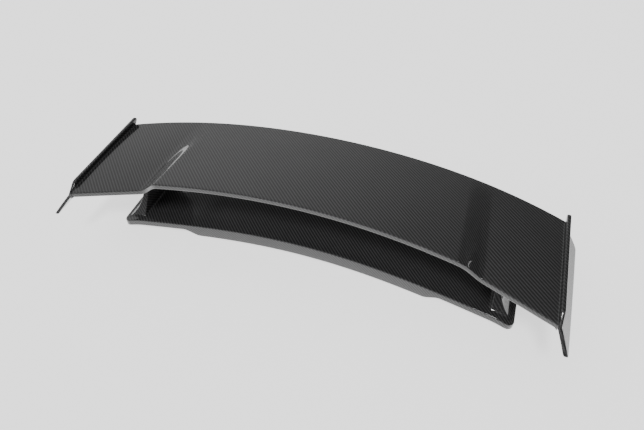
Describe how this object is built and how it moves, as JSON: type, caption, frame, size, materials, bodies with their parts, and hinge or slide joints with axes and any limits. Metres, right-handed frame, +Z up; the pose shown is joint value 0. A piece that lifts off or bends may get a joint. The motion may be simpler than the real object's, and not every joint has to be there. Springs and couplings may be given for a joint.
{
  "type": "rear wing",
  "caption": "Swept two-deck carbon rear wing: a wide blade with raised centre and canted endplates on two leaning pylons over a low base with bolted feet.",
  "frame": {"origin": "centre of the four deck bolts, on the plane that the deck pads stand on", "axes": "+X along the span to the wing's right-hand end as seen in the reference view, +Y towards the rear of the car, +Z up"},
  "size_m": [1.5228, 0.5438, 0.2692],
  "materials": {
    "blade_carbon": "2x2 twill carbon weave under gloss lacquer",
    "base_carbon": "2x2 twill carbon weave under gloss lacquer",
    "endplate_carbon": "2x2 twill carbon weave under gloss lacquer",
    "pylon_carbon": "2x2 twill carbon weave under gloss lacquer",
    "inner_carbon": "plain carbon laminate as it leaves the mould, unlacquered",
    "aluminium": "machined, clear anodised",
    "steel": "zinc plated",
    "rubber": "moulded EPDM"
  },
  "bodies": {
    "root": {"base_lower_skin": "base_carbon", "base_spar": "inner_carbon", "base_upper_skin": "base_carbon", "blade_end_rib_left": "inner_carbon", "blade_end_rib_right": "inner_carbon", "blade_front_spar": "inner_carbon", "blade_lower_skin": "blade_carbon", "blade_rear_spar": "inner_carbon", "blade_upper_skin": "blade_carbon", "deck_block_left": "aluminium", "deck_block_right": "aluminium", "deck_inserts": "steel", "deck_pad_left": "rubber", "deck_pad_right": "rubber", "endplate_dowels": "steel", "endplate_left": "endplate_carbon", "endplate_right": "endplate_carbon", "foot_cap_left": "inner_carbon", "foot_cap_right": "inner_carbon", "foot_screws": "steel", "head_block_left": "aluminium", "head_block_right": "aluminium", "head_screws": "steel", "pylon_left": "pylon_carbon", "pylon_right": "pylon_carbon", "pylon_spine_left": "aluminium", "pylon_spine_right": "aluminium", "screw_washers": "steel"}
  },
  "joints": []
}
